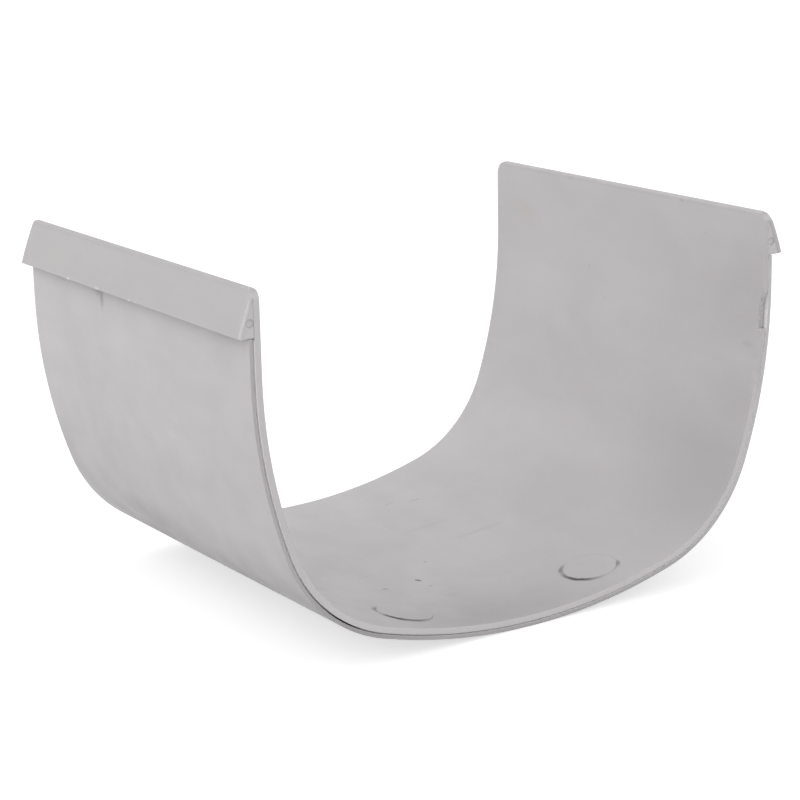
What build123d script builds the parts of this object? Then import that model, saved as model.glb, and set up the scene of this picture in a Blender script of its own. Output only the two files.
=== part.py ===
# Gutter union: a saddle of grey plastic that bridges the joint between two lengths of deep gutter.
# X runs across the trough, Y along the gutter and Z up. The near end, at -Y, is the one with the chip.
# The origin is under the middle of the trough, on the surface that the union stands on.

import os
from math import asin, degrees, radians, tan

from build123d import *

# Trough: its section is followed on the inner face, from the middle of the floor up one side.
# Angles are in degrees.
floor_radius = 147.0
floor_angle = 16.5
corner_radius = 34.8
corner_angle = 53.3
flank_radius = 124.0
flank_angle = 20.1
wall_rise = 18.5
wall = 1.5
union_length = 110.7
far_end_skew = 1.2  # the far end is cut a little out of square

# Lip: each top edge folds outward into a flap that slopes down and away from the wall
fold_radius = 0.95
flap_lean = 25.0  # from the vertical, where the flap starts
flap_curve_radius = 80.0
flap_curve_angle = 7.7
flap_thickness = 0.9
near_corner_radius = 2.8
far_corner_radii = {-1: 1.2, 1: 3.8}  # on the -X and +X side

# Web: a small plate that closes each end of a lip, with the dimple of a mould pin
web_thickness = 1.2
web_setback = 0.15
dimple_radius = 0.95
dimple_depth = 0.3

# Backing sheet: wraps the trough from lip to lip, a little short of both ends
sheet = 0.9
bond_gap = 0.4
sheet_setback = 0.15  # at both ends
sheet_top_clearance = 0.2

# Ejector marks: flat round pads that the mould's pins left standing in the curved floor near one end
mark_radius = 7.0
mark_height = 0.25  # above the floor in the middle of the pad
mark_spacing = 56.0
mark_inset = 13.5

# Chip: a bite out of the saddle's near end, high on one wall
chip_top = 19.2  # below the top of the wall
chip_height = 9.3
chip_depth = 1.2
chip_straight = 4.6  # the chip's height above its ledge before it slopes back out


def trough_line(distance, rise):
    """Half of the U, at a distance outside the inner face. The straight wall at its end is returned."""
    floor = JernArc((0, -distance), (1, 0), floor_radius + distance, floor_angle)
    corner = JernArc(floor @ 1, floor % 1, corner_radius + distance, corner_angle)
    flank = JernArc(corner @ 1, corner % 1, flank_radius + distance, flank_angle)
    return PolarLine(flank @ 1, rise, direction=flank % 1)


def trough_band(inside, outside, inner_rise, outer_rise):
    """The U between two distances from the inner face, as a closed face."""
    with BuildSketch() as band:
        with BuildLine():
            inner = trough_line(inside, inner_rise)
            outer = trough_line(outside, outer_rise)
            Line(inner @ 1, outer @ 1)
            Line((0, -inside), (0, -outside))
        make_face()
        mirror(about=Plane.YZ)
    return band.sketch


# Guide lines of one lip, on the +X side, in the section's own coordinates
with BuildLine():
    inner_wall = trough_line(0, wall_rise)
    outer_wall = trough_line(wall, wall_rise)
    fold_angle = floor_angle + corner_angle + flank_angle + 90 - flap_lean
    fold = JernArc(inner_wall @ 1, inner_wall % 1, fold_radius, -fold_angle)
    flap_face = JernArc(fold @ 1, fold % 1, flap_curve_radius, -flap_curve_angle)
    flap_tip = PolarLine(flap_face @ 1, flap_thickness, direction=(flap_face % 1).rotate(Axis.Z, -90))
    flap_back = JernArc(flap_tip @ 1, -(flap_face % 1), flap_curve_radius - flap_thickness, flap_curve_angle)
    wall_back = Line(outer_wall @ 0, outer_wall @ 1 + (outer_wall % 1) * fold_radius)
    web_foot = IntersectingLine(flap_tip @ 1, Vector(-1, 0), wall_back)

lip_mouth = flap_tip @ 1
lip_height = (inner_wall @ 1).Y + fold_radius
half_width = (flap_face @ 1).X

# Each plane has its own origin in the middle of the inner face of the floor and looks to the near end
floor_level = wall + bond_gap + sheet
skew_reach = half_width * tan(radians(far_end_skew))
section = Plane(origin=(0, 0, floor_level), x_dir=(1, 0, 0), z_dir=(0, -1, 0))
near_end = section.offset((union_length + skew_reach) / 2)
far_end = near_end.offset(-union_length).rotated((0, 0, far_end_skew))


def run_between(outline, near_plane, far_plane):
    """An outline of the section, run along the gutter from one plane to the other."""
    with BuildPart() as run:
        with BuildSketch(section):
            add(outline)
        extrude(amount=union_length, both=True)
        split(bisect_by=near_plane, keep=Keep.BOTTOM)
        split(bisect_by=far_plane, keep=Keep.TOP)
    return run.part


def lip_outlines():
    """Both folds with their flaps, each closed inside the wall."""
    with BuildSketch() as lips:
        with BuildLine():
            add([fold, flap_face, flap_tip, flap_back])
            Line(flap_back @ 1, inner_wall @ 1)
        make_face()
        mirror(about=Plane.YZ)
    return lips.sketch


def web_outlines():
    """The wedges between the flaps and the walls, down to the inner edge of each flap's tip."""
    with BuildSketch() as webs:
        with BuildLine():
            add(flap_back)
            Polyline(flap_back @ 1, web_foot @ 1, flap_back @ 0)
        make_face()
        mirror(about=Plane.YZ)
    return webs.sketch


trough_outline = trough_band(0, wall, wall_rise, wall_rise + fold_radius / 2)
trough = run_between(trough_outline, near_end, far_end)
lips = run_between(lip_outlines(), near_end, far_end)
web_faces = [near_end.offset(-web_setback), far_end.offset(web_setback)]
near_webs = run_between(web_outlines(), web_faces[0], web_faces[0].offset(-web_thickness))
far_webs = run_between(web_outlines(), web_faces[1].offset(web_thickness), web_faces[1])

with BuildPart() as saddle:
    add([trough, lips, near_webs, far_webs])

    # The top corners at both ends of the lips are rounded, as seen from the side
    for side in (-1, 1):
        for face, outward, radius in ((near_end, 1, near_corner_radius), (far_end, -1, far_corner_radii[side])):
            side_view = Plane(face.origin, x_dir=face.z_dir * outward, z_dir=face.x_dir * -outward)
            with BuildSketch(side_view):
                with Locations((0, lip_height)):
                    Rectangle(2 * radius, 2 * radius)
                with Locations((-radius, lip_height - radius)):
                    Circle(radius, mode=Mode.SUBTRACT)
            extrude(amount=-side * outward * 2 * half_width, mode=Mode.SUBTRACT)

    # Dimples in the middle of the webs
    dimple = (lip_mouth + flap_back @ 1 + web_foot @ 1) / 3
    for face, outward in ((web_faces[0], 1), (web_faces[1], -1)):
        with BuildSketch(face):
            with Locations(dimple, (-dimple.X, dimple.Y)):
                Circle(dimple_radius)
        extrude(amount=-outward * dimple_depth, mode=Mode.SUBTRACT)

    # Ejector marks, each square to the curve of the floor
    for side in (-1, 1):
        mark_angle = degrees(asin(mark_spacing / 2 / floor_radius))
        centre = Vector(0, -floor_radius, 0).rotate(Axis.Z, side * mark_angle) + Vector(0, floor_radius, 0)
        spot = near_end.offset(-mark_inset).from_local_coords(centre)
        flat = Plane(spot, x_dir=(0, -1, 0), z_dir=(0, 0, 1)).rotated((0, -side * mark_angle, 0))
        with BuildSketch(flat.offset(mark_height)):
            Circle(mark_radius)
        extrude(amount=-(mark_height + wall / 2))

    # The chip: a ledge below and a slope above
    chip_foot = lip_height - fold_radius - chip_top - chip_height
    chip_corner = near_end.from_local_coords(Vector((inner_wall @ 0).X - wall, chip_foot, 0))
    with BuildSketch(Plane(chip_corner, x_dir=(0, 1, 0), z_dir=(1, 0, 0))):
        with BuildLine():
            Line((0, 0), (chip_depth, 0))
            chip_side = Line((chip_depth, 0), (chip_depth, chip_straight))
            slope = TangentArc(chip_side @ 1, (0, chip_height), tangent=chip_side % 1)
            Polyline(slope @ 1, (-chip_depth, chip_height), (-chip_depth, 0), (0, 0))
        make_face()
    extrude(amount=4 * wall, mode=Mode.SUBTRACT)

sheet_inside = wall + bond_gap
sheet_rise = (lip_mouth - inner_wall @ 0).dot(inner_wall % 1) - sheet_top_clearance
sheet_outline = trough_band(sheet_inside, sheet_inside + sheet, sheet_rise, sheet_rise)
sheet_ends = [near_end.offset(-sheet_setback), far_end.offset(sheet_setback)]

with BuildPart() as backing_sheet:
    add(run_between(sheet_outline, *sheet_ends))

saddle.part.label = "saddle"
backing_sheet.part.label = "backing_sheet"
os.makedirs("parts", exist_ok=True)
export_step(saddle.part, "parts/saddle.step")
export_step(backing_sheet.part, "parts/backing_sheet.step")
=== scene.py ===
from math import radians

import bpy
from mathutils import Matrix, Vector


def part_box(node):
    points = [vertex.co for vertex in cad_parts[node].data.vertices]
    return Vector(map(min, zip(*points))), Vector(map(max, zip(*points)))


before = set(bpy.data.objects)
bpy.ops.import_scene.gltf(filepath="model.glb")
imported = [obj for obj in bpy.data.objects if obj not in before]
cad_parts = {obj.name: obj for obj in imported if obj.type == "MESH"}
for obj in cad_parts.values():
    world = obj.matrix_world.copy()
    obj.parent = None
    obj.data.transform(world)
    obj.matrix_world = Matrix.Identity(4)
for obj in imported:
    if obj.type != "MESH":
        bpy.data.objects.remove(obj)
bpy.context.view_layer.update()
bpy.ops.object.select_all(action="DESELECT")

# Where the photographer stood, in degrees and metres. The camera looks at the target.
camera_azimuth = -33.364
camera_elevation = 14.554
camera_roll = -1.144
camera_distance = 0.59946
camera_target = Vector((0.005336, 0.00765, 0.042036))
sensor_width = 36.0  # in millimetres, as Blender has it
focal_pixels = 2314.8
photo_pixels = 800
mm = 0.001

saddle_low, saddle_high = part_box("saddle")
near_end = saddle_low.y / mm  # in millimetres, as all places in the finishes are

straight = (0, 0, 0)  # no turn

# Lamps, table and room. Each lamp has an azimuth and an elevation in degrees and a power in watts.
lamps = {
    "back_left_softbox": (-120, 40, 4.2),
    "left_softbox": (-90, 20, 2.2),
    "front_softbox": (-33, 15, 4.0),
}
lamp_distance = 1.6
lamp_size = 1.0
table_size = 8.0
table_white = 0.62
table_lift = 0.6  # added to what the camera and the reflections see of the table
room_light = 0.84
room_white = 1.0  # how the camera and the reflections see the room


def aimed(target, distance, azimuth, elevation, roll=0.0):
    """The placement of a thing that looks at a target from a distance."""
    round_object = Matrix.Rotation(radians(azimuth), 4, "Z")
    down = Matrix.Rotation(radians(90 - elevation), 4, "X")
    turn = round_object @ down @ Matrix.Rotation(radians(roll), 4, "Z")
    back = turn.to_3x3() @ Vector((0, 0, 1))
    return Matrix.Translation(target + back * distance) @ turn


def put_camera():
    """The camera at the photograph's angle, framed as the photograph is."""
    lens = bpy.data.cameras.new("camera")
    lens.sensor_width = sensor_width
    lens.lens = focal_pixels * sensor_width / photo_pixels
    camera = bpy.data.objects.new("camera", lens)
    bpy.context.scene.collection.objects.link(camera)
    angles = (camera_azimuth, camera_elevation, camera_roll)
    camera.matrix_world = aimed(camera_target, camera_distance, *angles)
    bpy.context.scene.camera = camera


def put_lamp(name, azimuth, elevation, power):
    """A soft square lamp that looks at the middle of the union."""
    lamp = bpy.data.lights.new(name, "AREA")
    lamp.shape = "SQUARE"
    lamp.size = lamp_size
    lamp.energy = power
    stand = bpy.data.objects.new(name, lamp)
    bpy.context.scene.collection.objects.link(stand)
    stand.matrix_world = aimed((saddle_low + saddle_high) / 2, lamp_distance, azimuth, elevation)


def grey(red, green, blue):
    """A colour given from 0 to 255, as it looks on screen, made linear for the shader."""
    shares = (red / 255, green / 255, blue / 255)
    return tuple(c / 12.92 if c < 0.04 else ((c + 0.055) / 1.055) ** 2.4 for c in shares) + (1.0,)


plastic_dark = grey(187, 184, 186)
plastic_light = grey(194, 191, 193)
pale_grey = grey(203, 200, 202)
dull_grey = grey(168, 165, 167)
# Dark grey for specks of grime, and for a painted shadow and painted shade on the backing sheet
grime_and_shadow_grey = grey(92, 87, 88)
# Dark grey of the arcs round the ejector pads
dark_arc_grey = grey(52, 48, 49)
# Near-white for bright nicks, and for the painted highlight on the left flap's end and the painted light low
# on the cut ends
chalk_and_highlight = grey(226, 224, 225)
yellowed = grey(192, 184, 168)
# Near-white on the faces inside the gap between the two pieces: painted light that lifts the gap's shade
gap_light_white = grey(251, 250, 249)

# Mottling of both pieces. Each noise has a size, a detail, two values between which it comes in and a share.
mottling = {
    "blotches": ((26, 38, 26), 3.0, 0.35, 0.65, 0.4),
    "smears": ((7, 15, 7), 4.0, 0.35, 0.68, 0.3),
    "flow_lines": ((2.5, 48, 2.5), 2.0, 0.35, 0.65, 0.1),
    "grain": ((0.7, 0.7, 0.7), 1.0, 0.3, 0.7, 0.2),
}

# Hair scratches, and the patches that have them. Each noise has a size, a turn and two values between which
# it comes in.
scratches_along = ((0.25, 26, 0.25), (4, 0, 3), 0.66, 0.74)
scratches_across = ((9, 0.22, 9), (38, 0, 28), 0.69, 0.76)
scratched_patches = ((18, 24, 18), straight, 0.48, 0.62)
scratch_strength = 0.15

# Satin sheen, fine grain and shallow waves of both pieces, in millimetres. The light goes a little way in.
roughness = (0.4, 0.54)
rubbed_smoother = 0.06
sheen_patch = 9
grain_size = 0.45
grain_height = 0.006
wave_size = 11
saddle_waves = 0.05
sheet_waves = 0.06
light_let_in = 0.35
light_depth = 0.8
light_depth_of_colours = (1.0, 0.95, 0.97)

# Worn edges: their radius in millimetres, and the least and most paleness of their patches
saddle_wear = (0.35, 0.15, 0.4)
sheet_wear = (0.25, 0.1, 0.3)
wear_patch = 2.2
edge_bend = (0.995, 0.9)  # how alike the rounded and the true normal are beside an edge and on it
bevel_samples = 6

# How strongly each finish shows, from 0 to 1. Two numbers are its least and its most.
# Painted shade: the outer faces of the lips darker, where they face up and catch more light
lip_painted_shade = 0.5
# Painted shade: the crest of each fold darker in patches, where it faces up and catches more light
crest_painted_shade = (0.2, 0.45)
# Painted light on the cut ends, less on the right wall and more low down
end_painted_light = 0.8
painted_light_lost_on_right_wall = 0.65
low_end_painted_light = 0.2
# Painted light on the webs set back in the lips
web_painted_light = 0.9
# Painted highlight along the near end of the left flap
flap_end_highlight = 0.45
# Painted shade on the chip's broken face, in ragged patches
chip_painted_shade = (0.1, 0.8)
# Painted shade low on the backing sheet
sheet_low_painted_shade = 0.4
sheet_lowest_painted_shade = 0.5
# Painted light on the sheet's cut ends, and painted shade on them on the left and low down
sheet_end_painted_light = 0.5
sheet_left_end_painted_shade = 0.45
sheet_end_painted_shade = 0.12

# Which way a face looks: at the trough's axis, a line this high above the table, or away from it. The ends
# and the sides differ in how much they look along the gutter.
axis_height = 100
inner_facing = (2.0, 6.0)
outer_facing = (-2.0, -6.0)
end_facing = (0.6, 0.95)
side_facing = (0.35, 0.2)

# How deep behind the plane of the near end its cut faces may lie, in millimetres. The far half has no limit.
saddle_end_recess = 0.08
sheet_end_recess = 0.4
web_recess = 4.0
recess_softness = 0.02
far_half = (60, 61)  # from the near end

# Levels between which a finish comes in: heights above the table and places across, in millimetres
lip_level = (80.6, 81.4)
crest_level = (90.6, 91.8)
flap_end_level = (92, 89)
left_flap_place = (-74.4, -74.9)
right_wall_place = (60, 68)
right_wall_level = (40, 55)
low_end_level = (30, 8)
sheet_low_level = (34, 12)
sheet_lowest_level = (25, 14)
sheet_shaded_end_level = (14, 8)
left_side_place = (-25, -55)

# Ejector pads in the floor: the place of the right one, how far the floor leans there, and their size
pad_place = Vector((28.0, -42.67, 5.5))
pad_lean = -10.98
pad_radius = 7.0
pad_surroundings = (10, 10, 5)  # where its edges don't go pale
# The dark arc round each pad: its distance out from the edge, its width and the height of its patches
arc_from_edge = 0.25
arc_width = 0.85
arc_depth = 4

# Patches of the dark arc round each pad: place across and along from the pad's middle, radius and strength
left_pad_arcs = [(-5.8, -4.2, 7.0, 1.0), (-6.4, 2.4, 4.5, 0.6), (-1.5, -7.0, 5.5, 0.5)]
right_pad_arcs = [(-6.2, -2.2, 8.0, 1.0), (-5.6, 4.6, 4.0, 0.6), (5.4, -4.4, 2.4, 0.55)]

# Marks: centre, radii, turn and strength. Those of the floor are turned about Z, those of the walls about X.
floor_specks = [
    ((-8.1, -19.4, 3.0), (0.9, 1.4, 2), (0, 0, 20), 0.9),
    ((-8.0, -24.7, 3.0), (1.3, 0.7, 2), (0, 0, 20), 0.25),
    ((-20.3, -22.9, 4.2), (1.6, 0.8, 2), (0, 0, 15), 0.4),
    ((1.9, -7.8, 2.8), (0.6, 0.9, 2), straight, 0.25),
    ((25.9, 32.4, 5.1), (2.6, 0.7, 2), (0, 0, -20), 0.2),
    ((20.0, 36.5, 4.2), (2.2, 0.6, 2), (0, 0, 10), 0.18),
]
wall_specks = [
    ((72.2, -34.3, 84.0), (1, 0.8, 0.6), straight, 0.08),
    ((72.0, 13.6, 68.0), (1, 0.8, 0.8), straight, 0.08),
    ((71.5, 6.0, 60.7), (1, 0.8, 0.8), straight, 0.06),
    ((71.3, -51.7, 58.2), (1, 2.6, 1.0), straight, 0.12),
    ((71.5, 22.2, 91.3), (2, 1.6, 1.0), straight, 0.1),
    ((71.5, -24.8, 91.3), (2, 1.3, 0.9), straight, 0.16),
]
floor_smudges = [
    ((-7.0, -33.4, 3.0), (3.4, 1.8, 2), (0, 0, 10), 0.35),
    ((-5.4, -29.4, 3.0), (3.6, 0.7, 2), (0, 0, 8), 0.4),
    ((-18.9, -11.8, 4.0), (5.0, 0.9, 2), (0, 0, 20), 0.3),
    ((-0.6, -47.0, 2.8), (0.7, 4.6, 2), (0, 0, -35), 0.3),
    ((24.8, 0.0, 4.9), (14, 1.6, 3), (0, 0, -8), 0.3),
    ((18.0, 14.0, 4.0), (11, 1.4, 3), (0, 0, -5), 0.25),
]
# Painted shade on the inner faces and the floor: darker towards the near end and low on the right wall, with
# two thin streaks among them
painted_inner_shade = [
    ((62, -50, 22), (32, 50, 34), straight, 0.8),
    ((50, 0, 14), (20, 40, 14), straight, 0.25),
    ((65.7, -40.0, 33.5), (6, 12, 1.3), (3, 0, 0), 0.45),
    ((64.7, -41.0, 30.4), (6, 9, 0.9), (-2, 0, 0), 0.4),
    ((67.0, -30.0, 40.0), (7, 16, 5), (8, 0, 0), 0.2),
    ((72.0, -56.0, 70.0), (8, 30, 32), straight, 0.3),
    ((-8.0, -52.0, 3.0), (50, 24, 9), straight, 0.65),
    ((69.0, -52.0, 41.0), (12, 24, 20), straight, 0.5),
]
# Painted light on the inner faces of the right wall and on the middle of the floor
painted_inner_light = [
    ((72, 34, 62), (8, 26, 17), straight, 0.45),
    ((72, 16, 72), (8, 30, 16), straight, 0.3),
    ((72, 24, 52), (8, 9, 6), straight, 0.4),
    ((72, 2, 62), (8, 36, 24), straight, 0.35),
    ((16, -4, 4), (34, 24, 6), straight, 0.35),
]
yellow_stains = [
    ((72.2, 43.0, 79.0), (2, 7, 5), straight, 0.22),
    ((-76.2, 33.6, 86.4), (3, 10, 4), straight, 0.12),
]
flap_nicks = [
    ((-77.7, 26.5, 81.8), (1, 1.2, 0.4), straight, 0.6),
    ((-77.7, 11.0, 82.0), (1, 1.5, 0.4), straight, 0.35),
    ((-77.7, -5.5, 81.8), (1, 0.8, 0.4), straight, 0.45),
    ((-77.7, -8.6, 81.8), (1, 0.5, 0.4), straight, 0.35),
]
chip_face = [((72.9, -55.5, 66.5), (2.5, 1.1, 5.6), straight, 1.0)]
sheet_smudges = [
    ((-73.7, -17.9, 55.2), (2, 3.0, 1.8), straight, 0.3),
    ((-73.0, -14.9, 51.0), (2, 3.4, 1.6), straight, 0.3),
]
# Painted shade on the backing sheet, low down and towards the far end
painted_sheet_shade = [
    ((-64, 42, 26), (18, 62, 28), straight, 0.45),
    ((-63.5, 20, 20.5), (12, 26, 12), straight, 0.95),
]
# Painted shadow: a dark wedge on the backing sheet just under the left flap's lower edge
painted_shadow_under_flap = [
    ((-75, 15.8, 80.6), (1.5, 3.6, 2.6), straight, 0.4),
    ((-75, 14.4, 79.0), (1.5, 1.5, 4.2), straight, 0.45),
]
# Where the sheet's inner face shows through the chip and keeps its own colour
behind_chip = [((74.5, -55.5, 65.5), (5, 6, 11), straight, 0.3)]


class Finish:
    """A material and the nodes that make it. Places and sizes are in millimetres and angles in degrees."""

    def __init__(self, name):
        self.material = bpy.data.materials.new(name)
        self.material.use_nodes = True
        self.tree = self.material.node_tree
        self.shader = self.tree.nodes["Principled BSDF"]
        coordinates = self.add("ShaderNodeTexCoord")
        self.normal = coordinates.outputs["Normal"]
        self.place = self.vector("SCALE", coordinates.outputs["Object"], Scale=1 / mm)
        shake = self.add("ShaderNodeTexNoise", {"Vector": self.place, "Scale": 1.3, "Detail": 3.0})
        self.shake = shake.outputs["Color"]
        self.across, self.along, self.height = self.parts(self.place)
        self.colour = self.mottled()

    def add(self, kind, inputs=None, **settings):
        """A node with these settings. An input is a number, a colour or another node's output."""
        node = self.tree.nodes.new(kind)
        for name, value in settings.items():
            setattr(node, name, value)
        for socket, value in (inputs or {}).items():
            self.join(node, socket, value)
        return node

    def join(self, node, socket, value):
        """Gives a node's input a value, or links another node's output to it."""
        if isinstance(value, bpy.types.NodeSocket):
            self.tree.links.new(value, node.inputs[socket])
        else:
            node.inputs[socket].default_value = value

    def reckon(self, operation, first, second=0.0):
        """Arithmetic on two values."""
        return self.add("ShaderNodeMath", {0: first, 1: second}, operation=operation).outputs[0]

    def times(self, first, *others):
        """Several values multiplied."""
        for other in others:
            first = self.reckon("MULTIPLY", first, other)
        return first

    def rest(self, value, whole=1.0):
        """What is left of a whole when a value is taken off."""
        return self.reckon("SUBTRACT", whole, value)

    def vector(self, operation, first, second=(0, 0, 0), **more):
        """Arithmetic on two vectors. Lengths and dot products come out as a value."""
        node = self.add("ShaderNodeVectorMath", {0: first, 1: second, **more}, operation=operation)
        return node.outputs["Value" if operation in ("LENGTH", "DOT_PRODUCT") else "Vector"]

    def parts(self, vector):
        """A vector's parts along X, Y and Z."""
        return self.add("ShaderNodeSeparateXYZ", {0: vector}).outputs

    def step(self, value, start, end, low=0.0, high=1.0):
        """Goes smoothly from low to high while the value goes from start to end."""
        numbers = {"Value": value, "From Min": start, "From Max": end, "To Min": low, "To Max": high}
        return self.add("ShaderNodeMapRange", numbers, interpolation_type="SMOOTHSTEP").outputs[0]

    def stretched(self, size, centre=(0, 0, 0), turn=(0, 0, 0)):
        """The place on the part, counted from a centre in units of a size."""
        angles = tuple(radians(angle) for angle in turn)
        inputs = {"Vector": self.place, "Location": centre, "Rotation": angles, "Scale": size}
        return self.add("ShaderNodeMapping", inputs, vector_type="TEXTURE").outputs[0]

    def cloud(self, size, detail=3.0, turn=(0, 0, 0)):
        """Soft noise whose lumps have about this size. It goes from 0 to 1 and is mostly near a half."""
        size = size if isinstance(size, tuple) else (size, size, size)
        where = self.stretched(size, turn=turn)
        inputs = {"Vector": where, "Scale": 1.0, "Detail": detail, "Roughness": 0.5}
        return self.add("ShaderNodeTexNoise", inputs).outputs[0]

    def spot(self, centre, radii, turn, soft, ragged):
        """1 in the middle of an egg-shaped patch and 0 outside it, with a soft and ragged edge."""
        where = self.stretched(radii, centre, turn)
        off = self.vector("SCALE", self.vector("SUBTRACT", self.shake, (0.5, 0.5, 0.5)), Scale=ragged)
        away = self.vector("LENGTH", self.vector("ADD", where, off))
        return self.step(away, 1.0, 1.0 - soft)

    def spots(self, marks, soft=0.6, ragged=0.5):
        """The strongest of several patches. Each has a centre, radii, a turn and a strength."""
        whole = 0.0
        for centre, radii, turn, strength in marks:
            patch = self.times(self.spot(centre, radii, turn, soft, ragged), strength)
            whole = self.reckon("MAXIMUM", whole, patch)
        return whole

    def rim(self, centre, lean, radius, width):
        """1 along a circle that lies on the floor, leaning as the floor does, and 0 a width away from it."""
        flat = self.vector("MULTIPLY", self.stretched((1, 1, 1), centre, (0, lean, 0)), (1, 1, 0))
        wavy = self.times(self.reckon("SUBTRACT", self.cloud(2.5), 0.5), width)
        from_centre = self.reckon("ADD", self.vector("LENGTH", flat), wavy)
        away = self.reckon("ABSOLUTE", self.reckon("SUBTRACT", from_centre, radius))
        return self.step(away, width, width * 0.3)

    def facing(self):
        """Above 0 on the faces that look into the trough and below 0 on those that look away from it."""
        in_section = self.vector("MULTIPLY", self.place, (1, 0, 1))
        to_axis = self.vector("SUBTRACT", (0, 0, axis_height), in_section)
        return self.vector("DOT_PRODUCT", to_axis, self.normal)

    def lengthwise(self):
        """How much each face looks along the gutter, either way."""
        return self.reckon("ABSOLUTE", self.parts(self.normal)["Y"])

    def inside(self):
        """1 on the faces that look into the trough and 0 on the outer faces and the ends."""
        return self.step(self.facing(), *inner_facing)

    def outside(self):
        """1 on the faces that look away from the trough and 0 on the inner faces and the ends."""
        away = self.step(self.facing(), *outer_facing)
        return self.times(away, self.step(self.lengthwise(), *side_facing))

    def cut_ends(self, recess):
        """1 on the faces cut across at the ends, but at the near end not on those deeper than a recess."""
        from_near = self.reckon("SUBTRACT", self.along, near_end)
        in_far_half = self.step(from_near, *far_half)
        shallow = self.step(from_near, recess + recess_softness, recess - recess_softness)
        wanted = self.reckon("MAXIMUM", shallow, in_far_half)
        return self.times(self.step(self.lengthwise(), *end_facing), wanted)

    def mix(self, amount, under, over):
        """One colour laid over another."""
        return self.add("ShaderNodeMix", {0: amount, 6: under, 7: over}, data_type="RGBA").outputs[2]

    def lay(self, over, *amounts):
        """Lays a colour over what is there so far. Its amounts are multiplied."""
        self.colour = self.mix(self.times(*amounts), self.colour, over)

    def mottled(self):
        """The plastic's own colour: nearly even, with soft blotches, faint flow lines and a fine grain."""
        whole = 0.0
        for size, detail, start, end, share in mottling.values():
            tone = self.step(self.cloud(size, detail), start, end)
            whole = self.reckon("ADD", whole, self.times(tone, share))
        return self.mix(whole, plastic_dark, plastic_light)

    def rubbed_lines(self):
        """Fine hair scratches, mostly along the gutter, that come and go in patches."""
        along, across = (
            self.step(self.cloud(size, detail=1.0, turn=turn), start, end)
            for size, turn, start, end in (scratches_along, scratches_across)
        )
        size, turn, start, end = scratched_patches
        patches = self.step(self.cloud(size, turn=turn), start, end)
        return self.times(self.reckon("MAXIMUM", along, across), patches)

    def wear_edges(self, radius, least, most, spared=0.0):
        """Makes the edges paler, but not where they are spared. The normal with rounded edges comes back."""
        rounded = self.add("ShaderNodeBevel", {"Radius": radius * mm}, samples=bevel_samples).outputs[0]
        true = self.add("ShaderNodeNewGeometry").outputs["Normal"]
        edge = self.step(self.vector("DOT_PRODUCT", rounded, true), *edge_bend)
        patches = self.step(self.cloud(wear_patch), 0.4, 0.6, least, most)
        self.lay(pale_grey, edge, patches, self.rest(spared))
        return rounded

    def satin(self, smooth, normal, waves):
        """A satin sheen over the colour: rubbed smoother in places, with a fine grain and shallow waves."""
        rough = self.step(self.cloud(sheen_patch), 0.3, 0.7, *roughness)
        rough = self.reckon("SUBTRACT", rough, self.times(smooth, rubbed_smoother))
        grain = self.times(self.cloud(grain_size, detail=2.0), grain_height)
        relief = self.reckon("ADD", grain, self.times(self.cloud(wave_size, detail=1.0), waves))
        inputs = {"Strength": 1.0, "Distance": mm, "Height": relief, "Normal": normal}
        bump = self.add("ShaderNodeBump", inputs)
        self.join(self.shader, "Base Color", self.colour)
        self.join(self.shader, "Roughness", rough)
        self.join(self.shader, "Normal", bump.outputs[0])
        self.join(self.shader, "Subsurface Weight", light_let_in)
        self.join(self.shader, "Subsurface Radius", light_depth_of_colours)
        self.join(self.shader, "Subsurface Scale", light_depth * mm)


def pad_centre(side):
    """The middle of the ejector pad on one side: -1 for the left and 1 for the right."""
    return (pad_place.x * side, pad_place.y, pad_place.z)


def pad_dark_arc(plastic, side, heaps):
    """A dark arc round the side of an ejector pad, thick at one place and thin at another."""
    x, y, z = pad_centre(side)
    ring = plastic.rim((x, y, z), pad_lean * side, pad_radius + arc_from_edge, arc_width)
    places = []
    for right, back, radius, strength in heaps:
        places.append(((x + right, y + back, z), (radius, radius, arc_depth), straight, strength))
    return plastic.times(ring, plastic.spots(places, soft=0.9, ragged=0.2))


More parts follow.
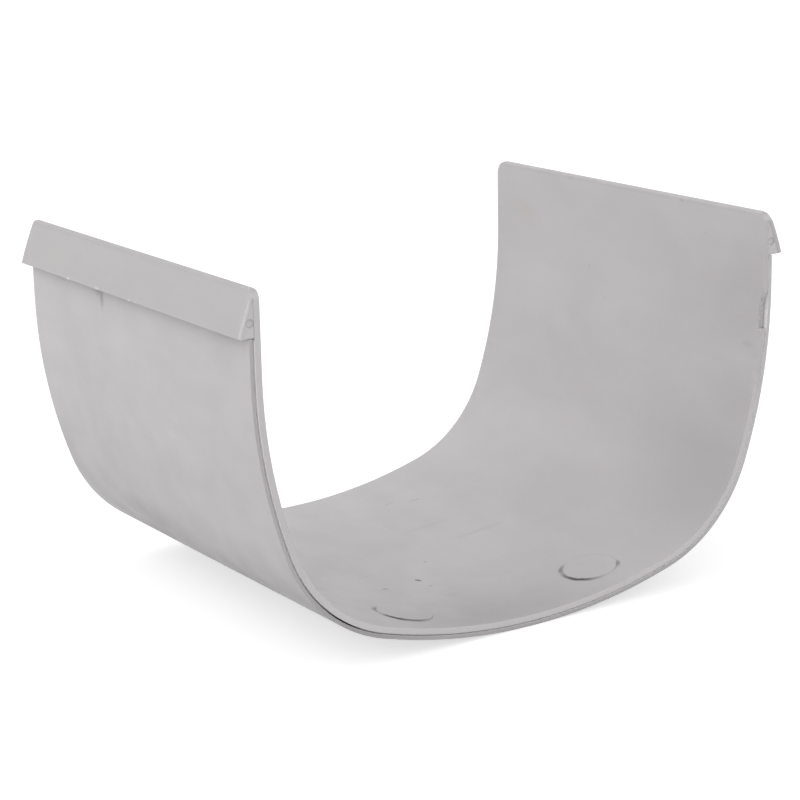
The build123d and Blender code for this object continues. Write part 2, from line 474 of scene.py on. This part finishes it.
def paint_saddle():
    """Satin grey plastic with the marks, dirt and worn edges that the photo shows, and with painted light
    and shade on its lips, crest, cut ends, webs, chip, inner faces and in the gap.
    """
    plastic = Finish("satin_grey_plastic")
    inside = plastic.inside()
    outside = plastic.outside()
    above = plastic.step(plastic.height, *lip_level)
    # Painted shade on the outer faces of the lips, which face up and catch more light
    plastic.lay(dull_grey, outside, above, lip_painted_shade)
    # Painted shade along the crest of each fold, in patches, where it faces up and catches more light
    crest = plastic.step(plastic.height, *crest_level)
    plastic.lay(dull_grey, crest, plastic.step(plastic.cloud((4, 9, 4)), 0.3, 0.6, *crest_painted_shade))
    # Painted shade on the inner faces and the floor
    plastic.lay(dull_grey, inside, plastic.spots(painted_inner_shade, soft=1.0, ragged=0.1))
    # Painted light on the inner faces and the floor
    plastic.lay(pale_grey, inside, plastic.spots(painted_inner_light, soft=1.0, ragged=0.1))
    plastic.lay(yellowed, plastic.spots(yellow_stains, soft=1.0))
    scratches = plastic.rubbed_lines()
    plastic.lay(pale_grey, scratches, scratch_strength)
    plastic.lay(dull_grey, inside, plastic.spots(floor_smudges, soft=0.9))
    plastic.lay(grime_and_shadow_grey, inside, plastic.spots(floor_specks + wall_specks, soft=0.7))
    # Dark arcs round the ejector pads, heaviest on their near left side
    left_arc = pad_dark_arc(plastic, -1, left_pad_arcs)
    right_arc = pad_dark_arc(plastic, 1, right_pad_arcs)
    plastic.lay(dark_arc_grey, plastic.reckon("MAXIMUM", left_arc, right_arc))
    pads = [(pad_centre(side), pad_surroundings, straight, 1.0) for side in (-1, 1)]
    rounded = plastic.wear_edges(*saddle_wear, spared=plastic.spots(pads, soft=0.2, ragged=0))
    plastic.lay(chalk_and_highlight, plastic.spots(flap_nicks, soft=0.5))

    # Painted light: the cut ends are paler, but less so on the right wall, and paler still low down
    ends = plastic.cut_ends(saddle_end_recess)
    right_wall = plastic.step(plastic.across, *right_wall_place)
    right_wall = plastic.times(right_wall, plastic.step(plastic.height, *right_wall_level))
    lost = plastic.times(right_wall, painted_light_lost_on_right_wall)
    plastic.lay(pale_grey, ends, plastic.rest(lost, whole=end_painted_light))
    plastic.lay(chalk_and_highlight, ends, plastic.step(plastic.height, *low_end_level, 0, low_end_painted_light))
    # Painted light on the webs set back from the ends, high in the lips
    webs = plastic.reckon("SUBTRACT", plastic.cut_ends(web_recess), ends)
    plastic.lay(pale_grey, webs, above, web_painted_light)
    # Painted highlight along the near end of the left flap, fading out towards the top
    left_flap = plastic.step(plastic.across, *left_flap_place)
    flap_end = plastic.step(plastic.height, *flap_end_level, 0, flap_end_highlight)
    plastic.lay(chalk_and_highlight, ends, above, left_flap, flap_end)

    # Painted shade on the chip's broken face, where it faces up, in ragged patches
    chip_shade = plastic.step(plastic.cloud(1), 0.4, 0.6, *chip_painted_shade)
    plastic.lay(dull_grey, plastic.spots(chip_face, soft=0.4), chip_shade)
    # Painted light: the saddle's outer faces under the backing sheet near-white, to lift the shade in the
    # gap
    plastic.lay(gap_light_white, outside, plastic.rest(above))
    plastic.satin(scratches, rounded, saddle_waves)
    return plastic.material


def paint_sheet():
    """The same plastic, with painted shade underneath and on the cut edge on the left, painted light on its
    other cut edges, and near-white on its bonded inner face: painted light that lifts the shade in the gap.
    """
    plastic = Finish("satin_backing_plastic")
    plastic.lay(pale_grey, plastic.spots(sheet_smudges, soft=0.8))
    scratches = plastic.rubbed_lines()
    plastic.lay(pale_grey, scratches, scratch_strength)
    # Painted shade: the sheet darker towards the bottom, and in soft patches low down and towards the far
    # end
    low = plastic.step(plastic.height, *sheet_low_level, 0, sheet_low_painted_shade)
    lowest = plastic.step(plastic.height, *sheet_lowest_level, 0, sheet_lowest_painted_shade)
    low = plastic.reckon("ADD", low, lowest)
    shade_patches = plastic.spots(painted_sheet_shade, soft=1.0, ragged=0.1)
    plastic.lay(dull_grey, plastic.reckon("MAXIMUM", low, shade_patches))
    # Painted shadow under the left flap's lower edge
    plastic.lay(grime_and_shadow_grey, plastic.spots(painted_shadow_under_flap, soft=1.0, ragged=0.3))
    rounded = plastic.wear_edges(*sheet_wear)
    # Painted light on the sheet's cut ends but not on the left; painted shade on the left ones and low down
    ends = plastic.cut_ends(sheet_end_recess)
    left = plastic.step(plastic.across, *left_side_place)
    lost = plastic.times(left, sheet_end_painted_light)
    plastic.lay(pale_grey, ends, plastic.rest(lost, whole=sheet_end_painted_light))
    plastic.lay(dull_grey, ends, left, sheet_left_end_painted_shade)
    plastic.lay(grime_and_shadow_grey, ends, plastic.step(plastic.height, *sheet_shaded_end_level), sheet_end_painted_shade)
    # Painted light: the sheet's inner face near-white, to lift the shade in the gap, but not where it shows
    # through the chip
    bare = plastic.spots(behind_chip, soft=0.3, ragged=0)
    plastic.lay(gap_light_white, plastic.inside(), plastic.rest(bare))
    plastic.satin(scratches, rounded, sheet_waves)
    return plastic.material


def dress(node, material):
    """Gives every slot of a CAD node this material."""
    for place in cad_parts[node].material_slots:
        place.material = material


def seen_directly(tree):
    """1 for the rays of the camera and of reflections, and 0 for the light that falls on things."""
    path = tree.nodes.new("ShaderNodeLightPath")
    seen = tree.nodes.new("ShaderNodeMath")
    seen.operation = "MAXIMUM"
    tree.links.new(path.outputs["Is Camera Ray"], seen.inputs[0])
    tree.links.new(path.outputs["Is Glossy Ray"], seen.inputs[1])
    return seen.outputs[0]


def lay_floor():
    """A white table top that keeps the union's shadow. What the camera sees of it is lifted to white."""
    bpy.ops.mesh.primitive_plane_add(size=table_size, location=(0, 0, 0))
    floor = bpy.context.object
    floor.name = "table_top"
    paper = bpy.data.materials.new("white_table_paper")
    paper.use_nodes = True
    tree = paper.node_tree
    tree.nodes.clear()
    diffuse = tree.nodes.new("ShaderNodeBsdfDiffuse")
    diffuse.inputs["Color"].default_value = (table_white, table_white, table_white, 1)
    glow = tree.nodes.new("ShaderNodeEmission")
    strength = tree.nodes.new("ShaderNodeMath")
    strength.operation = "MULTIPLY"
    strength.inputs[1].default_value = table_lift
    tree.links.new(seen_directly(tree), strength.inputs[0])
    tree.links.new(strength.outputs[0], glow.inputs["Strength"])
    both = tree.nodes.new("ShaderNodeAddShader")
    tree.links.new(diffuse.outputs[0], both.inputs[0])
    tree.links.new(glow.outputs[0], both.inputs[1])
    out = tree.nodes.new("ShaderNodeOutputMaterial")
    tree.links.new(both.outputs[0], out.inputs["Surface"])
    floor.data.materials.append(paper)


def light_room():
    """A white room that the camera and reflections see at full white, and that lights more softly."""
    world = bpy.data.worlds.new("white_room")
    bpy.context.scene.world = world
    world.use_nodes = True
    tree = world.node_tree
    backdrop = tree.nodes["Background"]
    backdrop.inputs["Color"].default_value = (1, 1, 1, 1)
    strength = tree.nodes.new("ShaderNodeMapRange")
    strength.inputs["To Min"].default_value = room_light
    strength.inputs["To Max"].default_value = room_white
    tree.links.new(seen_directly(tree), strength.inputs["Value"])
    tree.links.new(strength.outputs[0], backdrop.inputs["Strength"])
    for name, lamp in lamps.items():
        put_lamp(name, *lamp)


dress("saddle", paint_saddle())
dress("backing_sheet", paint_sheet())
put_camera()
lay_floor()
light_room()
bpy.context.scene.view_settings.view_transform = "Standard"
